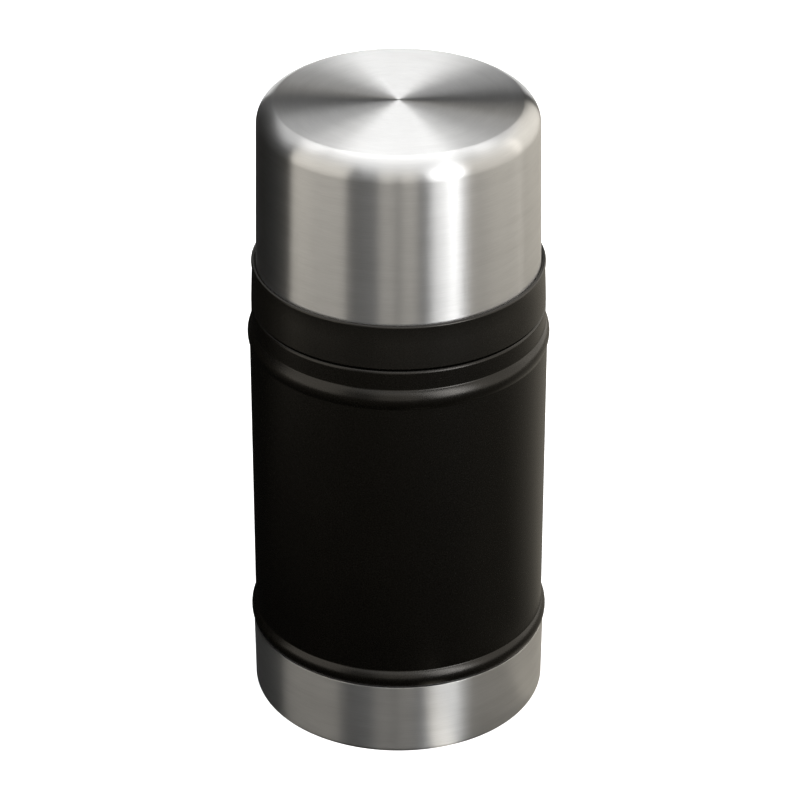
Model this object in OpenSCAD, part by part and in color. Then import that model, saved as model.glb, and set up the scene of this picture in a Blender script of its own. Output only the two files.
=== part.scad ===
// Insulated food jar: a double-walled steel jar with two rolled beads and a bare
// steel base band, a screw-in stopper with a vent, and a steel cup lid whose
// plastic collar locks on the jar's neck. Origin at the centre of the base, +Z up.

/* [Jar] */
// Radius of the coated wall
body_r = 47.5; // [45:0.5:51]
// Height of the shoulder that the lid's collar sits over
shoulder_z = 142.3; // [130:0.5:165]
// Sheet thickness of the outer shell
shell_t = 0.6; // [0.5:0.1:0.9]
// Step inwards of the wall above the upper bead
shoulder_in = 0.7; // [0.4:0.1:1]
// Radius of the rolled edge round the shoulder
shoulder_round = 1; // [0.6:0.1:1.4]
// Height of the neck above the shoulder
neck_h = 15.7; // [15.5:0.1:18]
// Sheet thickness of the inner vessel
vessel_t = 0.5; // [0.4:0.1:0.7]
// Width of the vacuum between the two walls
vacuum_gap = 3.6; // [3.2:0.1:4.2]
// Width of the vacuum at the neck
neck_gap = 0.5; // [0.3:0.1:0.8]
// Inside radius of the vessel's bottom corner
vessel_round = 8; // [5:0.5:12]
// Drop from the shoulder to the lower end of the vessel's narrow neck
vessel_neck_drop = 2.3; // [1.8:0.1:4]
// Height of the slope between the vessel's neck and its wall
vessel_slope_h = 6; // [5:0.5:9]

/* [Beads] */
// Drop from the shoulder to the widest line of the upper bead
upper_bead_drop = 10.3; // [9:0.1:14]
// How far the upper bead stands out from the coated wall
upper_bead_out = 0.65; // [0.4:0.05:1]
// Rise of the upper bead above its widest line
upper_bead_up = 3.6; // [3:0.1:5]
// Fall of the upper bead below its widest line
upper_bead_down = 2.8; // [2:0.1:4]
// How far the lower bead stands out from the coated wall
lower_bead_out = 1.35; // [0.8:0.05:1.6]
// Rise of the lower bead above its widest line
lower_bead_up = 3.4; // [3:0.1:5]
// Height of the lower bead's widest line above the base band
lower_bead_down = 2.7; // [2.2:0.1:3.6]

/* [Base] */
// Height of the bare steel base band
base_h = 25.8; // [20:0.2:32]
// Sheet thickness of the base cup
base_t = 0.5; // [0.4:0.1:0.6]
// How far the band's rim stands proud of the coated wall
base_out = 0.7; // [0.6:0.1:0.9]
// Radius lost by the band from its rim to its foot
base_taper = 0.25; // [0:0.05:0.3]
// Radius of the band's bottom corner
base_round = 2; // [1.2:0.1:2.4]
// Width of the ring that the jar stands on
foot_w = 8; // [5:0.5:14]
// Height of the dished middle of the base
foot_dish = 1; // [0.4:0.1:1.2]
// Height of the shell's lower end above the table
shell_foot_z = 2.4; // [2.1:0.1:3]
// Depth of the closing pan pressed into the shell's lower end
pan_h = 3.4; // [2.5:0.1:5]

/* [Neck ring] */
// Wall of the plastic ring on the neck, without its lugs
ring_t = 2.35; // [2:0.05:2.6]
// How far the lugs stand out from the ring, and from the collar
lid_lug_depth = 1.75; // [1.4:0.05:2]
// Half the height of a lid lug at its root
lid_lug_half = 1.7; // [1.4:0.1:1.8]
// Drop from the rim to the middle of the ring's lugs
lid_lug_drop = 6.4; // [6.2:0.1:7]

/* [Lid] */
// Height of the lid from the collar's lower edge to its top
lid_h = 69; // [64:0.5:80]
// Height of the collar from its lower edge to the top of its lip
collar_h = 14.8; // [14.6:0.1:15.2]
// Wall of the collar's skirt
collar_t = 2.4; // [2.2:0.1:2.8]
// Radius lost by the collar from its lower edge to its lip
collar_flare = 0.45; // [0.2:0.05:0.6]
// Width of the collar's rounded lip
lip_w = 1.35; // [1.2:0.05:1.5]
// How far the lip stands proud of the collar's wall
lip_out = 0.2; // [0.1:0.05:0.3]
// Gap that shows between the lip and the steel cup
lip_gap = 0.2; // [0.15:0.05:0.25]
// Sheet thickness of the steel cup
cup_t = 0.5; // [0.4:0.1:0.7]
// Radius lost by the cup for each millimetre of height
cup_taper = 0.02; // [0:0.005:0.025]
// Outside radius of the cup's top corner
cup_round = 7.5; // [6:0.5:12]
// Width of the ledge in the collar that the liner's rim stands on
liner_ledge = 1.95; // [1.7:0.05:2.1]
// Sheet thickness of the liner
liner_t = 0.5; // [0.4:0.1:0.6]
// Space between the liner's top and the cup's top
lid_space = 3.4; // [2.4:0.2:8]
// Thickness of the lid's gasket
gasket_t = 1.5; // [1.2:0.1:1.6]

/* [Stopper] */
// Depth of the stopper below the jar's rim
stopper_depth = 27; // [25:0.5:28]
// Wall of the stopper's barrel
barrel_t = 1.8; // [1.4:0.1:2.4]
// Thickness of the stopper's bottom
stopper_floor = 2; // [1.5:0.1:3]
// How far the stopper's lugs stand out, and the vessel's lugs stand in
stopper_lug_depth = 1.5; // [1.2:0.05:1.7]
// Half the height of a stopper lug at its root
stopper_lug_half = 1.6; // [1.3:0.1:1.8]
// Drop from the rim to the middle of the vessel's lugs
stopper_lug_drop = 5.4; // [5:0.1:7]
// Thickness of the seal under the stopper's flange
seal_t = 1.6; // [1.2:0.1:2]
// Thickness of the stopper's flange
flange_t = 2.2; // [1.8:0.1:2.6]
// Reach of the stopper's flange past the steel rim
flange_out = 0.3; // [0.1:0.05:0.4]
// Height of the grip above the flange
grip_h = 10.2; // [9:0.1:12]
// Radius lost from the flange to the grip
grip_in = 1.8; // [1.2:0.1:4]
// Wall of the grip
grip_t = 2.4; // [2.2:0.1:3.2]
// Number of flutes round the grip
flutes = 32; // [16:1:40]
// Radius of a flute
flute_r = 1.1; // [0.6:0.1:1.4]

/* [Vent] */
// Radius of the vent button
button_r = 8; // [6:0.5:10]
// How far the button stands above the grip
button_out = 1.2; // [1:0.1:1.6]
// Height of the button's disc
button_h = 4; // [3:0.1:5]
// Radius of the vent's stem
stem_r = 2.2; // [1.8:0.1:2.4]
// Radius of the boss that guides the stem
boss_r = 5.9; // [5.7:0.1:7]
// Radius of the spring's pocket in the boss
pocket_r = 4.4; // [4.1:0.1:4.6]
// Depth of the spring's pocket
pocket_h = 6.6; // [5:0.1:8]
// Wire radius of the vent spring
wire_r = 0.35; // [0.25:0.05:0.4]
// Number of turns in the vent spring
spring_turns = 5; // [4:1:6]
// Radius of the vent's seal
vent_seal_r = 6.5; // [5:0.5:9]
// Thickness of the vent's seal
vent_seal_t = 1.5; // [1:0.1:2]

/* [Locks and clearances] */
// Turn that locks the lid or the stopper, in degrees
lock_turn = 50; // [48:1:52]
// How far the lid is drawn down as it locks
lid_draw = 0.6; // [0.4:0.05:0.8]
// How far the stopper is drawn down as it locks
stopper_draw = 0.8; // [0.5:0.05:0.9]
// Angle that a moving lug spans
moving_span = 30; // [28:1:32]
// Angle of the stop at the end of each fixed lug
stop_span = 3; // [2:0.5:3]
// Number of lugs round each thread
lugs = 4; // [4:1:4]
// Fall of a lug's flank for each millimetre towards its tip
flank = 0.4; // [0.2:0.05:0.5]
// Radial clearance between a lug and the wall that it passes
lug_fit = 0.35; // [0.3:0.05:0.4]
// Clearance between two locked flanks
flank_fit = 0.15; // [0.1:0.05:0.25]
// Clearance left between two faces that are drawn together
seat_gap = 0.1; // [0.05:0.05:0.15]
// Clearance between pieces that turn or slide past each other
slide_fit = 0.3; // [0.25:0.05:0.35]
// Clearance between pieces that are pressed together
press_fit = 0.05; // [0.03:0.01:0.08]

/* [Hidden] */
$fn = 96;
// Straight pieces along each rounded corner of an outline
round_steps = 8;
// Overrun of a cut, and root of a lug inside its wall
cut = 0.4;

// Radii of the neck, from the collar inwards
shoulder_r = body_r - shoulder_in;
skirt_r = shoulder_r - collar_t;
ring_lug_r = skirt_r - lug_fit;
ring_r = ring_lug_r - lid_lug_depth;
collar_lug_r = ring_r + lug_fit;
neck_r = ring_r - ring_t - press_fit;
vessel_neck_r = neck_r - shell_t - neck_gap;
mouth_r = vessel_neck_r - vessel_t;
stopper_lug_r = mouth_r - lug_fit;
barrel_r = stopper_lug_r - stopper_lug_depth;
vessel_lug_r = barrel_r + lug_fit;
vessel_r = body_r - shell_t - vacuum_gap - vessel_t;

// Heights of the jar
mouth_z = shoulder_z + neck_h;
neck_top_z = mouth_z - vessel_t;
pan_z = shell_foot_z + pan_h;
floor_z = pan_z + vacuum_gap + vessel_t;
vessel_neck_z = shoulder_z - vessel_neck_drop;
vessel_wall_z = vessel_neck_z - vessel_slope_h;
upper_bead_z = shoulder_z - upper_bead_drop;
shell_low_r = body_r + base_out - base_t - base_taper - press_fit - press_fit;
lower_bead_z = base_h + lower_bead_down;

// Radiation foil and getter inside the vacuum
foil_t = 0.15;
foil_margin = 6;
getter_r = 3;
getter_h = 1.2;
getter_x = 22;
clip_t = 0.3;
clip_w = 4;
clip_l = 9;
plug_r = 2.6;
plug_h = 0.8;
plug_hole_r = 1.2;

// Lid, at rest with its lugs in the gaps
collar_z = shoulder_z + seat_gap + lid_draw;
lid_top_z = collar_z + lid_h;
lip_z = collar_z + collar_h;
collar_top_r = shoulder_r - collar_flare;
lip_r = collar_top_r + lip_out;
lip_in_r = lip_r - lip_w;
cup_r = lip_in_r - lip_gap;
edge_round = 0.3;
gasket_in_r = neck_r + flange_out + slide_fit + slide_fit;
gasket_out_r = ring_r + lug_fit + slide_fit;
pocket_wall_r = gasket_out_r + slide_fit;
liner_r = pocket_wall_r - liner_ledge;
gasket_z = neck_top_z + press_fit;
ceiling_z = gasket_z + gasket_t + seat_gap + lid_draw;
ceiling_t = 1.5;
ledge_room = 0.7;
ledge_z = mouth_z - lid_lug_drop + lid_lug_half + lid_draw + ledge_room;
groove_z = ledge_z + 0.5 * (gasket_z - ledge_z);
sleeve_rise = 1.8;
sleeve_top_z = ceiling_z + ceiling_t + liner_t + sleeve_rise;
catch_h = 0.35;
liner_rim_z = ceiling_z + ceiling_t;
liner_top_z = lid_top_z - lid_space;
core_low_z = sleeve_top_z + slide_fit;

// Stopper, at rest with its lugs in the gaps
seal_z = mouth_z + press_fit;
flange_z = seal_z + seal_t + seat_gap + stopper_draw;
flange_r = neck_r + flange_out;
flange_top_z = flange_z + flange_t;
stopper_z = mouth_z - stopper_depth;
stopper_in_r = barrel_r - barrel_t;
stopper_top_z = flange_top_z + grip_h;
grip_r = flange_r - grip_in;
grip_top_t = 2;
spigot_t = 1.6;
spigot_h = 3;
web_t = 1.5;
grip_bevel = 0.8;
flute_bite = 0.5;
well_r = button_r + slide_fit;
well_t = 2;
boss_drop = 2;
boss_top_z = mouth_z - boss_drop;
well_low_z = boss_top_z + web_t;
core_top_z = well_low_z - slide_fit;
stem_hole_r = stem_r + slide_fit + press_fit;
hub_r = pocket_r - slide_fit;
button_top_z = stopper_top_z + button_out;
button_round = 1;
vent_travel = 2;
hub_room = 1.4;
hub_z = boss_top_z + vent_travel + hub_room;
spring_low_z = boss_top_z - pocket_h;
spring_r = hub_r - wire_r;
wire_sides = 8;
turn_steps = 16;
keeper_t = 1.4;
tip_h = 0.9;

// Screw slopes, in millimetres for each degree
lid_pitch = lid_draw / lock_turn;
stopper_pitch = stopper_draw / lock_turn;

// Angles of the locks: a stop overlaps its lug and leaves the locked lug a little play
stop_root = 1;
stop_play = 0.5;
lug_step = 360 / lugs;
fixed_span = 2 * (lock_turn + moving_span / 2 + stop_root + stop_play - lug_step / 2);
ring_lug_z = mouth_z - lid_lug_drop;
collar_lug_z = ring_lug_z + lid_pitch * lug_step / 2 - flank_fit
    - mesh_h(lid_lug_half, skirt_r - ring_r);
vessel_lug_z = mouth_z - stopper_lug_drop;
stopper_lug_z = vessel_lug_z + stopper_pitch * lug_step / 2 - flank_fit
    - mesh_h(stopper_lug_half, mouth_r - barrel_r);

// Height between the middles of two meshing lugs whose flanks touch
function mesh_h(half, gap) = 2 * half - flank * gap;

// Points along an arc about a centre, from one angle to another
function arc(c, r, a0, a1) =
    [for (i = [0:round_steps]) let (a = a0 + (a1 - a0) * i / round_steps)
        [c[0] + r * cos(a), c[1] + r * sin(a)]];

// Points of a bead's flank, from a point on the wall to the bead's widest point
function flank_to(p, peak) =
    let (out = peak[0] - p[0], rise = p[1] - peak[1], r = (out * out + rise * rise) / (2 * out),
        a = asin(rise / r))
        arc([peak[0] - r, peak[1]], r, a, 0);

function back(points) = [for (i = [len(points) - 1:-1:0]) points[i]];

// The shell's wall from its foot to the top of its neck, moved in by t
function shell_wall(t) = concat(
    [[shell_low_r - t, shell_foot_z], [shell_low_r - t, base_h + press_fit]],
    flank_to([body_r + base_out - base_t - t, base_h + press_fit],
        [body_r + lower_bead_out - t, lower_bead_z]),
    back(flank_to([body_r - t, lower_bead_z + lower_bead_up],
        [body_r + lower_bead_out - t, lower_bead_z])),
    flank_to([body_r - t, upper_bead_z - upper_bead_down],
        [body_r + upper_bead_out - t, upper_bead_z]),
    back(flank_to([shoulder_r - t, upper_bead_z + upper_bead_up],
        [body_r + upper_bead_out - t, upper_bead_z])),
    arc([shoulder_r - shoulder_round - t, shoulder_z - shoulder_round - t], shoulder_round, 0, 90),
    [[neck_r - t, shoulder_z - t], [neck_r - t, neck_top_z]]);

// The vessel's wall from the middle of its floor to its rim, moved out by t
function vessel_wall(t) = concat(
    [[0, floor_z - t]],
    arc([vessel_r - vessel_round, floor_z + vessel_round], vessel_round + t, -90, 0),
    [[vessel_r + t, vessel_wall_z], [mouth_r + t, vessel_neck_z], [mouth_r + t, neck_top_z]]);

// Radius of the steel cup at a height
function cup_at(z) = cup_r - cup_taper * (z - lip_z);

// The cup's wall from a height to the middle of its top, moved in by t
function cup_wall(low_z, t) =
    concat([[cup_at(low_z) - t, low_z]],
        arc([cup_at(lid_top_z - cup_round) - cup_round, lid_top_z - cup_round],
            cup_round - t, 0, 90),
        [[0, lid_top_z - t]]);

// Radius of the liner's inside at a height
function liner_at(z) = liner_r - cup_taper * (z - liner_rim_z);

// The liner's wall from a height to the middle of its top, moved out by t
function liner_wall(low_z, t) =
    let (round = cup_round - lid_space / 2, top_z = liner_top_z - liner_t)
        concat([[liner_at(low_z) + t, low_z]],
            arc([liner_at(top_z - round) - round, top_z - round], round + t, 0, 90),
            [[0, top_z + t]]);

// One lug: a ring segment that leans along the screw, its middle on +X. Its root lies
// inside the wall at root_r and its tip is at tip_r, outwards or inwards
module lug(root_r, tip_r, half, span, pitch) {
    side = sign(tip_r - root_r);
    root_half = half + flank * cut;
    tip_half = half - flank * abs(tip_r - root_r);
    lean = atan(pitch * 180 / (PI * (root_r + tip_r) / 2));
    rotate([lean, 0, 0])
        rotate([0, 0, -span / 2])
            rotate_extrude(angle = span)
                polygon([[root_r - side * cut, -root_half], [tip_r, -tip_half],
                    [tip_r, tip_half], [root_r - side * cut, root_half]]);
}

// The fixed lugs of one thread, each with the stop that ends the turn
module fixed_lugs(root_r, tip_r, half, pitch, drop) {
    side = sign(tip_r - root_r);
    for (i = [0:lugs - 1])
        rotate([0, 0, (i + 1 / 2) * lug_step]) {
            lug(root_r, tip_r, half, fixed_span, pitch);
            rotate([0, 0, -fixed_span / 2 - stop_span])
                rotate_extrude(angle = stop_span + stop_root)
                    polygon([[root_r - side * cut, -drop], [tip_r, -drop],
                        [tip_r, 0], [root_r - side * cut, 0]]);
        }
}

module moving_lugs(root_r, tip_r, half, pitch) {
    for (i = [0:lugs - 1])
        rotate([0, 0, i * lug_step])
            lug(root_r, tip_r, half, moving_span, pitch);
}

module outer_shell() {
    color([0.05, 0.05, 0.045])
        rotate_extrude()
            polygon(concat(shell_wall(0), back(shell_wall(shell_t))));
}

module inner_vessel() {
    color([0.72, 0.72, 0.7]) {
        rotate_extrude()
            polygon(concat(vessel_wall(0), [[mouth_r, mouth_z], [neck_r, mouth_z],
                [neck_r, neck_top_z]], back(vessel_wall(vessel_t))));
        translate([0, 0, vessel_lug_z])
            fixed_lugs(mouth_r, vessel_lug_r, stopper_lug_half, stopper_pitch,
                2 * stopper_lug_half);
    }
}

module radiation_foil() {
    color([0.8, 0.8, 0.82])
        rotate_extrude()
            translate([vessel_r + vessel_t + press_fit, floor_z + vessel_round])
                square([foil_t, vessel_wall_z - foil_margin - floor_z - vessel_round]);
}

module getter_pill() {
    color([0.35, 0.35, 0.37])
        translate([getter_x, 0, floor_z - vessel_t - press_fit - getter_h])
            cylinder(r = getter_r, h = getter_h);
}

module getter_clip() {
    drop = getter_h + press_fit + press_fit;
    color([0.75, 0.75, 0.73])
        translate([getter_x, 0, floor_z - vessel_t - drop - clip_t]) {
            translate([-clip_l / 2, -clip_w / 2, 0])
                cube([clip_l, clip_w, clip_t]);
            for (x = [-clip_l / 2, clip_l / 2 - clip_t])
                translate([x, -clip_w / 2, 0])
                    cube([clip_t, clip_w, drop + clip_t]);
        }
}

module closing_pan() {
    r = shell_low_r - shell_t - press_fit;
    color([0.7, 0.7, 0.68])
        rotate_extrude()
            polygon([[plug_hole_r, pan_z - shell_t], [r - shell_t, pan_z - shell_t],
                [r - shell_t, shell_foot_z], [r, shell_foot_z], [r, pan_z], [plug_hole_r, pan_z]]);
}

module vacuum_plug() {
    color([0.3, 0.3, 0.32]) {
        translate([0, 0, pan_z - shell_t - plug_h])
            cylinder(r = plug_r, h = plug_h);
        translate([0, 0, pan_z - shell_t - plug_h / 2])
            cylinder(r = plug_hole_r - press_fit, h = shell_t + plug_h / 2);
    }
}

module base_cup() {
    rim_r = body_r + base_out;
    low_r = rim_r - base_taper;
    color([0.6, 0.59, 0.57])
        rotate_extrude()
            polygon(concat(
                [[0, foot_dish], [low_r - base_round - foot_w, foot_dish],
                    [low_r - base_round - foot_w + foot_dish, 0]],
                arc([low_r - base_round, base_round], base_round, -90, 0),
                [[rim_r, base_h], [rim_r - base_t, base_h]],
                back(arc([low_r - base_round, base_round], base_round - base_t, -90, 0)),
                [[low_r - base_round - foot_w + foot_dish, base_t],
                    [low_r - base_round - foot_w, foot_dish + base_t], [0, foot_dish + base_t]]));
}

module neck_ring() {
    color([0.1, 0.1, 0.1]) {
        translate([0, 0, shoulder_z])
            difference() {
                cylinder(r = ring_r, h = neck_top_z - shoulder_z);
                translate([0, 0, -cut])
                    cylinder(r = neck_r + press_fit, h = neck_top_z - shoulder_z + 2 * cut);
            }
        translate([0, 0, ring_lug_z])
            fixed_lugs(ring_r, ring_lug_r, lid_lug_half, lid_pitch, 2 * lid_lug_half);
    }
}

module stopper_body() {
    color([0.12, 0.12, 0.12]) {
        difference() {
            rotate_extrude()
                polygon([[stem_hole_r, stopper_z], [barrel_r, stopper_z], [barrel_r, flange_z],
                    [flange_r, flange_z], [flange_r, flange_top_z], [stopper_in_r, flange_top_z],
                    [stopper_in_r, stopper_z + stopper_floor], [boss_r, stopper_z + stopper_floor],
                    [boss_r, boss_top_z], [stem_hole_r, boss_top_z]]);
            translate([0, 0, spring_low_z])
                cylinder(r = pocket_r, h = pocket_h + cut);
        }
        translate([0, 0, stopper_lug_z])
            moving_lugs(barrel_r, stopper_lug_r, stopper_lug_half, stopper_pitch);
    }
}

module stopper_cap() {
    web_z = flange_top_z + web_t;
    spigot_r = stopper_in_r - press_fit;
    in_r = grip_r - grip_t;
    color([0.12, 0.12, 0.12])
        difference() {
            rotate_extrude()
                polygon([[well_r, stopper_top_z], [well_r, well_low_z],
                    [well_r + well_t, well_low_z],
                    [well_r + well_t, stopper_top_z - grip_top_t],
                    [in_r, stopper_top_z - grip_top_t], [in_r, web_z], [spigot_r - spigot_t, web_z],
                    [spigot_r - spigot_t, flange_top_z - spigot_h],
                    [spigot_r, flange_top_z - spigot_h], [spigot_r, flange_top_z],
                    [grip_r, flange_top_z], [grip_r, stopper_top_z - grip_bevel],
                    [grip_r - grip_bevel, stopper_top_z]]);
            for (i = [0:flutes - 1])
                rotate([0, 0, i * 360 / flutes])
                    translate([grip_r + flute_r - flute_bite, 0, flange_top_z + web_t])
                        cylinder(r = flute_r, h = grip_h);
        }
}

module stopper_core() {
    low_z = stopper_z + stopper_floor + slide_fit;
    h = core_top_z - low_z;
    color([0.9, 0.88, 0.8])
        translate([0, 0, low_z])
            difference() {
                cylinder(r = stopper_in_r - slide_fit, h = h);
                translate([0, 0, -cut])
                    cylinder(r = boss_r + slide_fit, h = h + 2 * cut);
            }
}

module stopper_seal() {
    color([0.75, 0.74, 0.7])
        translate([0, 0, seal_z])
            difference() {
                cylinder(r = neck_r, h = seal_t);
                translate([0, 0, -cut])
                    cylinder(r = barrel_r + slide_fit, h = seal_t + 2 * cut);
            }
}

module vent_button() {
    tip_z = stopper_z - press_fit - vent_seal_t - press_fit - keeper_t - press_fit;
    color([0.2, 0.2, 0.2])
        rotate_extrude()
            polygon(concat([[0, tip_z - tip_h], [stem_r + press_fit, tip_z - tip_h],
                [stem_r + press_fit + press_fit, tip_z], [stem_r, tip_z], [stem_r, hub_z], [hub_r, hub_z],
                [hub_r, button_top_z - button_h], [button_r, button_top_z - button_h]],
                arc([button_r - button_round, button_top_z - button_round], button_round, 0, 90),
                [[0, button_top_z]]));
}

// The wire's middle line rises evenly from the pocket's floor to the hub
function coil_at(a) = let (low = spring_low_z + wire_r + press_fit, high = hub_z - wire_r - press_fit)
    [spring_r * cos(a), spring_r * sin(a), low + (high - low) * a / (360 * spring_turns)];

function coil_ring(a) = let (c = coil_at(a))
    [for (k = [0:wire_sides - 1]) let (b = 360 * k / wire_sides)
        [c[0] + wire_r * cos(b) * cos(a), c[1] + wire_r * cos(b) * sin(a), c[2] + wire_r * sin(b)]];

module vent_spring() {
    rings = spring_turns * turn_steps;
    color([0.8, 0.8, 0.78])
        polyhedron(
            points = [for (i = [0:rings]) each coil_ring(360 * i / turn_steps)],
            faces = concat(
                [[for (k = [wire_sides - 1:-1:0]) k]],
                [for (i = [0:rings - 1]) for (k = [0:wire_sides - 1])
                    let (a = i * wire_sides + k, b = i * wire_sides + (k + 1) % wire_sides)
                        each [[a, b + wire_sides, a + wire_sides], [a, b, b + wire_sides]]],
                [[for (k = [0:wire_sides - 1]) rings * wire_sides + k]]));
}

module vent_seal() {
    color([0.75, 0.74, 0.7])
        translate([0, 0, stopper_z - press_fit - vent_seal_t])
            difference() {
                cylinder(r = vent_seal_r, h = vent_seal_t);
                translate([0, 0, -cut])
                    cylinder(r = stem_r + press_fit, h = vent_seal_t + 2 * cut);
            }
}

module vent_keeper() {
    color([0.2, 0.2, 0.2])
        translate([0, 0, stopper_z - press_fit - vent_seal_t - press_fit - keeper_t])
            difference() {
                cylinder(r = vent_seal_r - keeper_t / 2, h = keeper_t);
                translate([0, 0, -cut])
                    cylinder(r = stem_r + press_fit, h = keeper_t + 2 * cut);
            }
}

module cup_shell() {
    low_z = groove_z + slide_fit;
    color([0.7, 0.69, 0.67])
        rotate_extrude()
            polygon(concat(cup_wall(low_z, 0), back(cup_wall(low_z, cup_t))));
}

module cup_liner() {
    rim_r = pocket_wall_r - press_fit;
    color([0.72, 0.72, 0.7])
        rotate_extrude()
            polygon(concat([[rim_r, liner_rim_z], [rim_r, liner_rim_z + liner_t]],
                liner_wall(liner_rim_z + liner_t, liner_t), back(liner_wall(liner_rim_z, 0))));
}

module cup_core() {
    color([0.9, 0.88, 0.8])
        rotate_extrude()
            polygon(concat(cup_wall(core_low_z, cup_t + slide_fit),
                back(liner_wall(core_low_z, liner_t + slide_fit))));
}

module cup_gasket() {
    color([0.75, 0.74, 0.7])
        translate([0, 0, gasket_z])
            difference() {
                cylinder(r = gasket_out_r, h = gasket_t);
                translate([0, 0, -cut])
                    cylinder(r = gasket_in_r, h = gasket_t + 2 * cut);
            }
}

module cup_collar() {
    lip_c = [lip_r - lip_w / 2, lip_z - lip_w / 2];
    catch_z = gasket_z - press_fit - seat_gap;
    catch_r = gasket_out_r - slide_fit;
    color([0.08, 0.08, 0.08]) {
        rotate_extrude()
            polygon(concat(
                [[skirt_r, collar_z], [shoulder_r - edge_round, collar_z],
                    [shoulder_r, collar_z + edge_round],
                    [collar_top_r, lip_z - 2 * lip_w]],
                arc(lip_c, lip_w / 2, 0, 180),
                [[lip_in_r, groove_z], [cup_at(groove_z) - cup_t - press_fit, groove_z],
                    [cup_at(sleeve_top_z) - cup_t - press_fit, sleeve_top_z],
                    [pocket_wall_r, sleeve_top_z], [pocket_wall_r, liner_rim_z],
                    [liner_r, liner_rim_z], [liner_r, ceiling_z],
                    [pocket_wall_r, ceiling_z], [pocket_wall_r, catch_z],
                    [catch_r, catch_z - catch_h], [catch_r, catch_z - 2 * catch_h],
                    [pocket_wall_r, catch_z - 3 * catch_h], [pocket_wall_r, ledge_z],
                    [skirt_r, ledge_z]]));
        translate([0, 0, collar_lug_z])
            moving_lugs(skirt_r, collar_lug_r, lid_lug_half, lid_pitch);
    }
}

outer_shell();
inner_vessel();
radiation_foil();
getter_pill();
getter_clip();
closing_pan();
vacuum_plug();
base_cup();
neck_ring();
stopper_body();
stopper_cap();
stopper_core();
stopper_seal();
vent_button();
vent_spring();
vent_seal();
vent_keeper();
cup_shell();
cup_liner();
cup_core();
cup_gasket();
cup_collar();
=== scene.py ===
import math

import bmesh
import bpy
from mathutils import Matrix


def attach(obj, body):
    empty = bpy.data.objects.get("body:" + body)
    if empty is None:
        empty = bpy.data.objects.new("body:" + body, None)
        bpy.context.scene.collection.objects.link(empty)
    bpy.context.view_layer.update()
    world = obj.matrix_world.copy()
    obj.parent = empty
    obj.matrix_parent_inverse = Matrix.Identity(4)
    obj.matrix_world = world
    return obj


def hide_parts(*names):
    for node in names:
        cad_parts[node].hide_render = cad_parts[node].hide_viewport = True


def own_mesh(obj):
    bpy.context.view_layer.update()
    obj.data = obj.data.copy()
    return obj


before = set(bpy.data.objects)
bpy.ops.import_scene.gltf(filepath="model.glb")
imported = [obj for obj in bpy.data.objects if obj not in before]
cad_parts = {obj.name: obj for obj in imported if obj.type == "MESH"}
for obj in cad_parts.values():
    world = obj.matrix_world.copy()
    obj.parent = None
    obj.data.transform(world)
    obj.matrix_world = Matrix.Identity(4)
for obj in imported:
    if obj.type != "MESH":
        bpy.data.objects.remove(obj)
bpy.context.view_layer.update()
scene = bpy.context.scene
mm = 0.001
print("frame loaded:", len(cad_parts), "nodes")


# Outlines are drawn in the XZ plane, radius along +X, and spun round the jar's axis.
# A step of two numbers is a straight run to (radius, height); a step of four is an arc
# about (radius, height) through some degrees, in some pieces. All lengths are in mm.
def drawOutline(steps):
    bm = bmesh.new()
    radius, height = steps[0]
    tip = bmesh.ops.create_vert(bm, co=(radius * mm, 0, height * mm))["vert"][0]
    for step in steps[1:]:
        if len(step) == 2:
            new = bmesh.ops.extrude_vert_indiv(bm, verts=[tip])["verts"][0]
            new.co = (step[0] * mm, 0, step[1] * mm)
            tip = new
        else:
            radius, height, degrees, pieces = step
            swept = bmesh.ops.spin(bm, geom=[tip], cent=(radius * mm, 0, height * mm),
                                   axis=(0, -1, 0), angle=math.radians(degrees),
                                   steps=pieces, use_merge=False)
            tip = [v for v in swept["geom_last"] if isinstance(v, bmesh.types.BMVert)][0]
    bmesh.ops.remove_doubles(bm, verts=bm.verts[:], dist=0.002 * mm)
    return bm


def spinRound(bm, around=192):
    bmesh.ops.spin(bm, geom=bm.verts[:] + bm.edges[:], cent=(0, 0, 0), axis=(0, 0, 1),
                   angle=math.tau, steps=around, use_merge=True)
    bmesh.ops.remove_doubles(bm, verts=bm.verts[:], dist=0.002 * mm)
    bmesh.ops.recalc_face_normals(bm, faces=bm.faces[:])


def roundEdges(bm, width, degrees=35, segments=3, low=None, high=None):
    limit = math.radians(degrees)
    sharp = [e for e in bm.edges if e.is_manifold and e.calc_face_angle(0) > limit
             and (low is None or min(v.co.z for v in e.verts) >= low * mm)
             and (high is None or max(v.co.z for v in e.verts) <= high * mm)]
    bmesh.ops.bevel(bm, geom=sharp, offset=width * mm, offset_type="OFFSET", affect="EDGES",
                    segments=segments, profile=0.5, material=-1, clamp_overlap=True)


# Lugs of a quick thread: a section swept through an angle and leaned along the screw.
# A stop is an upright block across the end of a fixed lug. Angles are in degrees.
lugs = {"count": 4, "steps": 14, "stopBack": 3, "stopSpan": 4, "stopShy": 0.05}


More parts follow.
